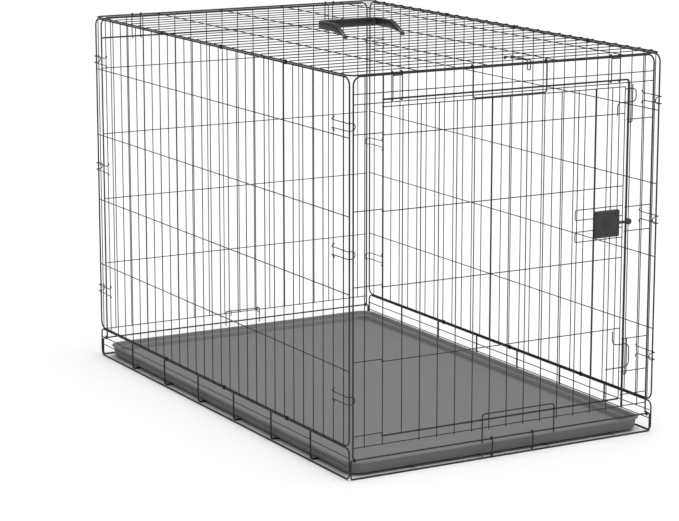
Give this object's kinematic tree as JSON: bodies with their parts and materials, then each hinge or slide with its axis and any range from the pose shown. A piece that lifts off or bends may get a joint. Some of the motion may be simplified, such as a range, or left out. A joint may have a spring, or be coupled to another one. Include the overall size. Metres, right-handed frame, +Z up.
{
  "type": "wire dog crate",
  "caption": "Folding wire dog crate with a front swing door, slide latch, corner clips, top carry handle and a lift-off plastic floor tray.",
  "frame": {"origin": "centre of the bounding box's bottom face, on the floor", "axes": "+X across the crate to the right seen from the door end, +Y from the door end to the rear, +Z up"},
  "size_m": [0.762, 1.2233, 0.85],
  "materials": {
    "wire_coating": "smooth black electro-coat, semi gloss",
    "tray_plastic": "fine-textured dark grey moulded plastic",
    "latch_plastic": "charcoal moulded plastic",
    "handle_plastic": "black moulded plastic, soft sheen"
  },
  "bodies": {
    "frame": {"base_cross_wires": "wire_coating", "base_front_loop": "wire_coating", "base_lip_wires": "wire_coating", "base_long_wires": "wire_coating", "base_rear_loop": "wire_coating", "base_side_loops": "wire_coating", "base_ties": "wire_coating", "left_border": "wire_coating", "left_hinge_straps": "wire_coating", "left_rails": "wire_coating", "left_uprights": "wire_coating", "right_border": "wire_coating", "right_hinge_straps": "wire_coating", "right_rails": "wire_coating", "right_uprights": "wire_coating", "top_border": "wire_coating", "top_cross_wires": "wire_coating", "top_long_wires": "wire_coating"},
    "front_panel": {"front_border": "wire_coating", "front_uprights": "wire_coating", "front_rails": "wire_coating", "front_door_frame_rod": "wire_coating", "front_keepers": "wire_coating"},
    "rear_panel": {"rear_border": "wire_coating", "rear_uprights": "wire_coating", "rear_rails": "wire_coating", "rear_top_rod": "wire_coating"},
    "door": {"door_rails": "wire_coating", "door_uprights": "wire_coating", "door_bottom_rod": "wire_coating", "door_foot_guard": "wire_coating", "door_tabs": "wire_coating", "latch_guide_wires": "wire_coating", "latch_plate": "latch_plastic"},
    "bolt": {"latch_bolt": "latch_plastic"},
    "handle": {"handle_grip": "handle_plastic", "handle_arms": "handle_plastic", "handle_eyes": "handle_plastic"},
    "tray": {"tray": "tray_plastic"},
    "bail": {"top_bail": "wire_coating"},
    "centre_hook": {"centre_hook": "wire_coating"},
    "tray_clip": {"tray_clip": "wire_coating"},
    "top_clip_front_left": {"top_clip_front_left": "wire_coating"},
    "top_clip_rear_left": {"top_clip_rear_left": "wire_coating"},
    "top_clip_front_right": {"top_clip_front_right": "wire_coating"},
    "top_clip_rear_right": {"top_clip_rear_right": "wire_coating"},
    "corner_clip_front_left_low": {"corner_clip_front_left_low": "wire_coating"},
    "corner_clip_front_left_mid": {"corner_clip_front_left_mid": "wire_coating"},
    "corner_clip_front_left_high": {"corner_clip_front_left_high": "wire_coating"},
    "corner_clip_front_right_low": {"corner_clip_front_right_low": "wire_coating"},
    "corner_clip_front_right_mid": {"corner_clip_front_right_mid": "wire_coating"},
    "corner_clip_front_right_high": {"corner_clip_front_right_high": "wire_coating"},
    "corner_clip_rear_left_low": {"corner_clip_rear_left_low": "wire_coating"},
    "corner_clip_rear_left_mid": {"corner_clip_rear_left_mid": "wire_coating"},
    "corner_clip_rear_left_high": {"corner_clip_rear_left_high": "wire_coating"},
    "corner_clip_rear_right_low": {"corner_clip_rear_right_low": "wire_coating"},
    "corner_clip_rear_right_mid": {"corner_clip_rear_right_mid": "wire_coating"},
    "corner_clip_rear_right_high": {"corner_clip_rear_right_high": "wire_coating"}
  },
  "joints": [
    {"name": "front_panel_fold", "type": "hinge", "parent": "frame", "child": "front_panel", "pos_m": [0, -0.6038, 0.041], "axis": [1, 0, 0], "range_deg": [-86, 0]},
    {"name": "rear_panel_fold", "type": "hinge", "parent": "frame", "child": "rear_panel", "pos_m": [0, 0.6038, 0.041], "axis": [-1, 0, 0], "range_deg": [-90, 0]},
    {"name": "door_swing", "type": "hinge", "parent": "front_panel", "child": "door", "pos_m": [-0.29633, -0.60065, 0], "axis": [0, 0, -1], "range_deg": [0, 160]},
    {"name": "latch_bolt_slide", "type": "slide", "parent": "door", "child": "bolt", "axis": [-1, 0, 0], "range_m": [0, 0.016]},
    {"name": "handle_flip", "type": "hinge", "parent": "frame", "child": "handle", "pos_m": [0, -0.06375, 0.82445], "axis": [1, 0, 0], "range_deg": [0, 120]},
    {"name": "bail_swing", "type": "hinge", "parent": "frame", "child": "bail", "pos_m": [0, -0.6043, 0.82185], "axis": [-1, 0, 0], "range_deg": [0, 120]},
    {"name": "centre_hook_lift", "type": "hinge", "parent": "frame", "child": "centre_hook", "pos_m": [0, -0.53125, 0.82445], "axis": [-1, 0, 0], "range_deg": [0, 120]},
    {"name": "tray_clip_swing", "type": "hinge", "parent": "rear_panel", "child": "tray_clip", "pos_m": [0, 0.59875, 0.065], "axis": [1, 0, 0], "range_deg": [0, 45]},
    {"name": "tray_slide", "type": "slide", "parent": "frame", "child": "tray", "axis": [0, 1, 0], "range_m": [0, 1.15]},
    {"name": "top_clip_front_left_swing", "type": "hinge", "parent": "frame", "child": "top_clip_front_left", "pos_m": [0, -0.6043, 0.82185], "axis": [-1, 0, 0], "range_deg": [0, 120]},
    {"name": "top_clip_rear_left_swing", "type": "hinge", "parent": "frame", "child": "top_clip_rear_left", "pos_m": [0, 0.6043, 0.82185], "axis": [1, 0, 0], "range_deg": [0, 120]},
    {"name": "top_clip_front_right_swing", "type": "hinge", "parent": "frame", "child": "top_clip_front_right", "pos_m": [0, -0.6043, 0.82185], "axis": [-1, 0, 0], "range_deg": [0, 120]},
    {"name": "top_clip_rear_right_swing", "type": "hinge", "parent": "frame", "child": "top_clip_rear_right", "pos_m": [0, 0.6043, 0.82185], "axis": [1, 0, 0], "range_deg": [0, 120]},
    {"name": "corner_clip_front_left_low_swing", "type": "hinge", "parent": "frame", "child": "corner_clip_front_left_low", "pos_m": [-0.37765, -0.54275, 0], "axis": [0, 0, -1], "range_deg": [0, 110]},
    {"name": "corner_clip_front_left_mid_swing", "type": "hinge", "parent": "frame", "child": "corner_clip_front_left_mid", "pos_m": [-0.37765, -0.54275, 0], "axis": [0, 0, -1], "range_deg": [0, 110]},
    {"name": "corner_clip_front_left_high_swing", "type": "hinge", "parent": "frame", "child": "corner_clip_front_left_high", "pos_m": [-0.37765, -0.54275, 0], "axis": [0, 0, -1], "range_deg": [0, 110]},
    {"name": "corner_clip_front_right_low_swing", "type": "hinge", "parent": "frame", "child": "corner_clip_front_right_low", "pos_m": [0.37765, -0.54275, 0], "axis": [0, 0, 1], "range_deg": [0, 110]},
    {"name": "corner_clip_front_right_mid_swing", "type": "hinge", "parent": "frame", "child": "corner_clip_front_right_mid", "pos_m": [0.37765, -0.54275, 0], "axis": [0, 0, 1], "range_deg": [0, 110]},
    {"name": "corner_clip_front_right_high_swing", "type": "hinge", "parent": "frame", "child": "corner_clip_front_right_high", "pos_m": [0.37765, -0.54275, 0], "axis": [0, 0, 1], "range_deg": [0, 110]},
    {"name": "corner_clip_rear_left_low_swing", "type": "hinge", "parent": "frame", "child": "corner_clip_rear_left_low", "pos_m": [-0.37765, 0.54275, 0], "axis": [0, 0, 1], "range_deg": [0, 110]},
    {"name": "corner_clip_rear_left_mid_swing", "type": "hinge", "parent": "frame", "child": "corner_clip_rear_left_mid", "pos_m": [-0.37765, 0.54275, 0], "axis": [0, 0, 1], "range_deg": [0, 110]},
    {"name": "corner_clip_rear_left_high_swing", "type": "hinge", "parent": "frame", "child": "corner_clip_rear_left_high", "pos_m": [-0.37765, 0.54275, 0], "axis": [0, 0, 1], "range_deg": [0, 110]},
    {"name": "corner_clip_rear_right_low_swing", "type": "hinge", "parent": "frame", "child": "corner_clip_rear_right_low", "pos_m": [0.37765, 0.54275, 0], "axis": [0, 0, -1], "range_deg": [0, 110]},
    {"name": "corner_clip_rear_right_mid_swing", "type": "hinge", "parent": "frame", "child": "corner_clip_rear_right_mid", "pos_m": [0.37765, 0.54275, 0], "axis": [0, 0, -1], "range_deg": [0, 110]},
    {"name": "corner_clip_rear_right_high_swing", "type": "hinge", "parent": "frame", "child": "corner_clip_rear_right_high", "pos_m": [0.37765, 0.54275, 0], "axis": [0, 0, -1], "range_deg": [0, 110]}
  ]
}
